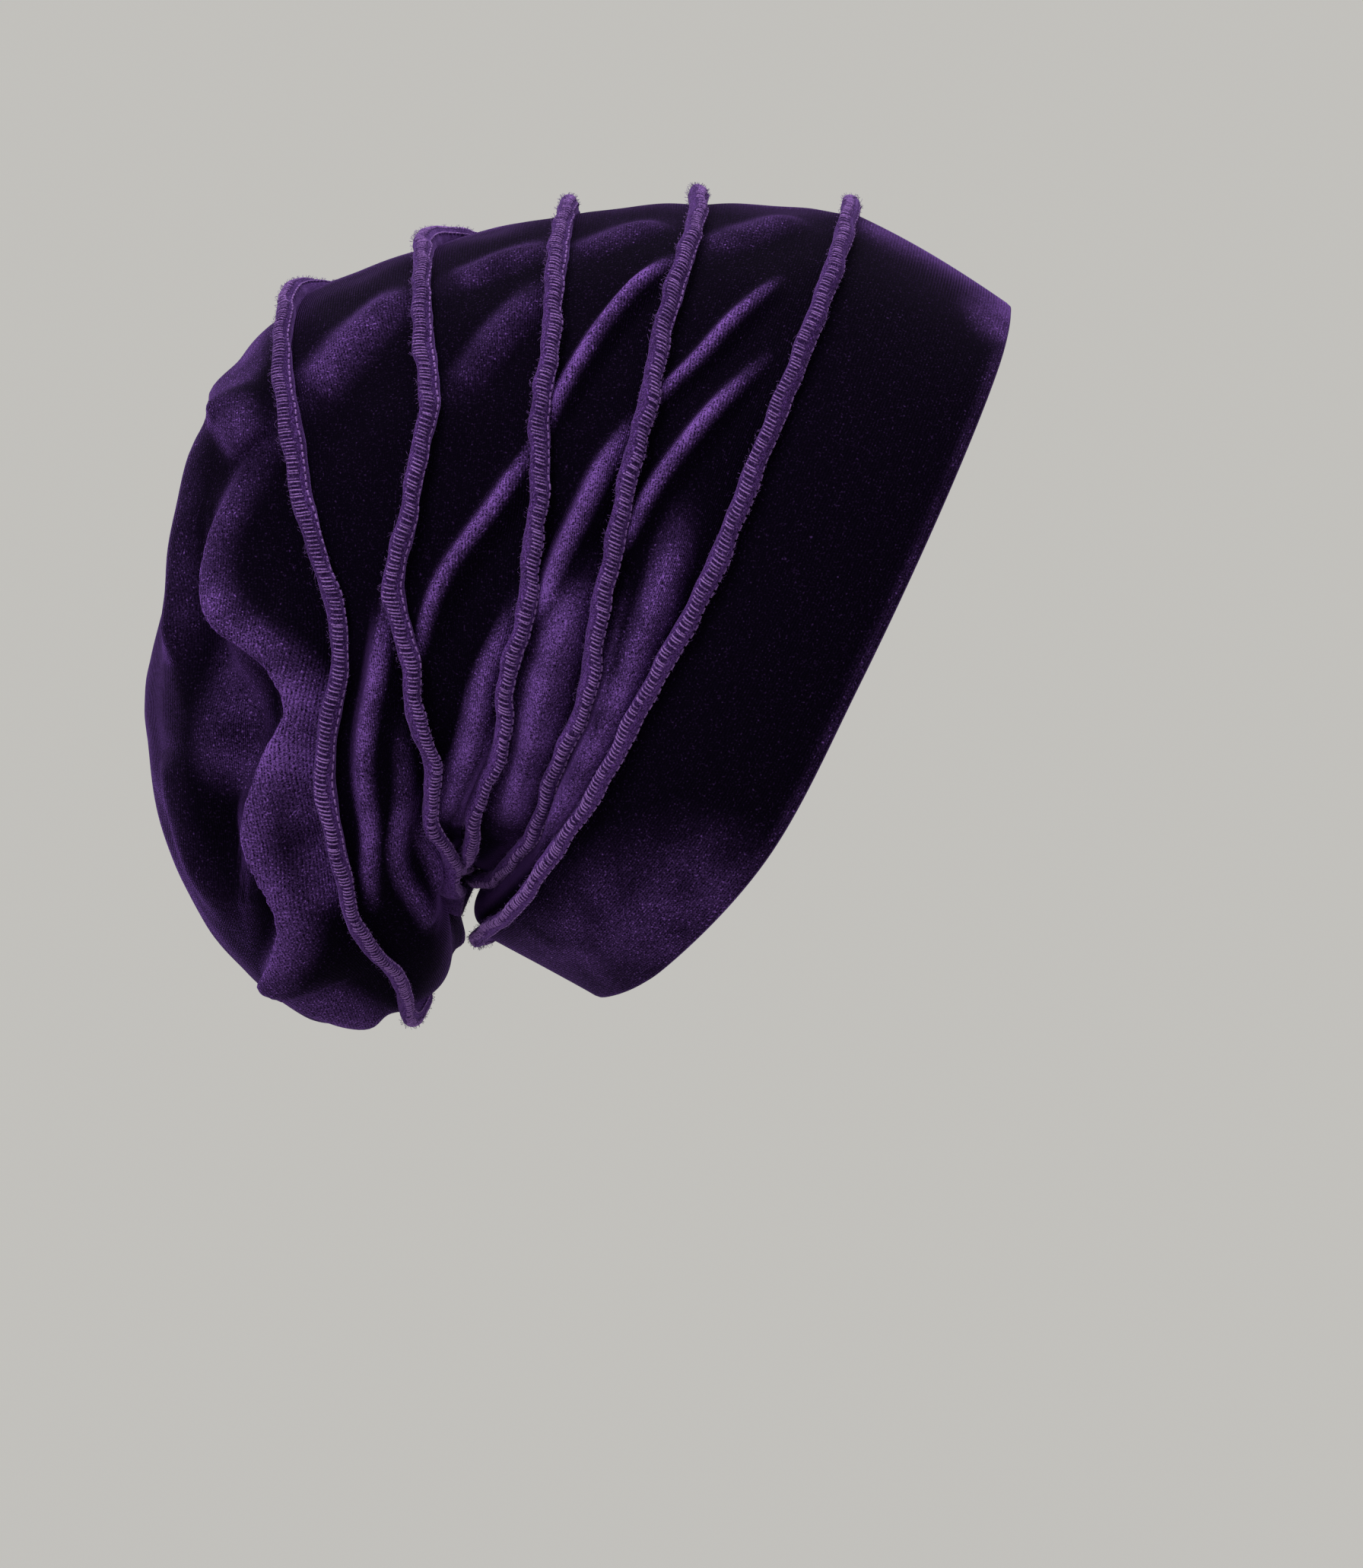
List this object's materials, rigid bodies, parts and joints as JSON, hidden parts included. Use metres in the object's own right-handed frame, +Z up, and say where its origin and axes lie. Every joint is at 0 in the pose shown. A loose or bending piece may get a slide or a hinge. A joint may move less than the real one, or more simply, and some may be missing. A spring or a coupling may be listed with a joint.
{
  "type": "slouchy beanie",
  "caption": "Slouchy stretch-velvet hat in its worn form: smooth front band, gathered strips joined by raised overlocked seams, and a soft bag hanging at the back.",
  "frame": {"origin": "middle of the head opening, where the hat sits on a head", "axes": "+X towards the face, +Y to the wearer's left, +Z up"},
  "size_m": [0.2487, 0.1689, 0.2415],
  "materials": {
    "velvet": "deep purple stretch velvet",
    "seam_thread": "purple overlock thread over velvet"
  },
  "bodies": {
    "root": {"front_band": "velvet", "panel_1": "velvet", "panel_2": "velvet", "panel_3": "velvet", "panel_4": "velvet", "back_panel": "velvet", "seam_1": "seam_thread", "seam_2": "seam_thread", "seam_3": "seam_thread", "seam_4": "seam_thread", "seam_5": "seam_thread"}
  },
  "joints": []
}
